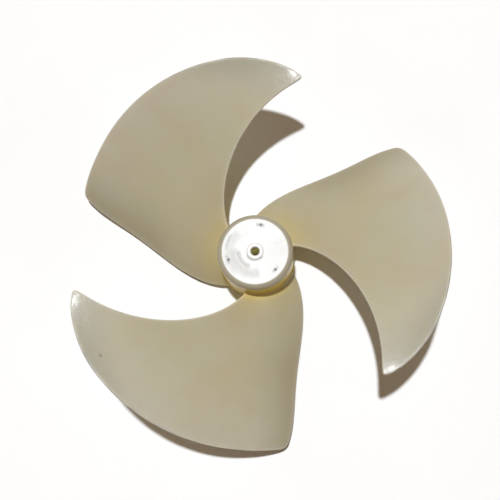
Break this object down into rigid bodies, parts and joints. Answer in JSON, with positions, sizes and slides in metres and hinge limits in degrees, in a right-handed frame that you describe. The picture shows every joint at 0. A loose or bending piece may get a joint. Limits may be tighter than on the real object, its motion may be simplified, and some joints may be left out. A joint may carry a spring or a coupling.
{
  "type": "condenser fan blade",
  "caption": "Axial fan rotor moulded in one piece: an open-backed hub cup with a shaft bore carries broad, forward-swept, twisted blades that move air through a condenser.",
  "frame": {"origin": "on the shaft axis, in the plane shared by the hub's rear rim and the end of its boss", "axes": "+Z along the shaft axis from the open rear rim to the closed front face of the hub; seen from +Z the leading edges sweep clockwise, with +X to the right and +Y up as in the picture"},
  "size_m": [0.1431, 0.1473, 0.0376],
  "materials": {
    "fan_plastic": "satin natural plastic, slightly translucent, glossier on the hub face"
  },
  "bodies": {
    "root": {"fan": "fan_plastic"}
  },
  "joints": []
}
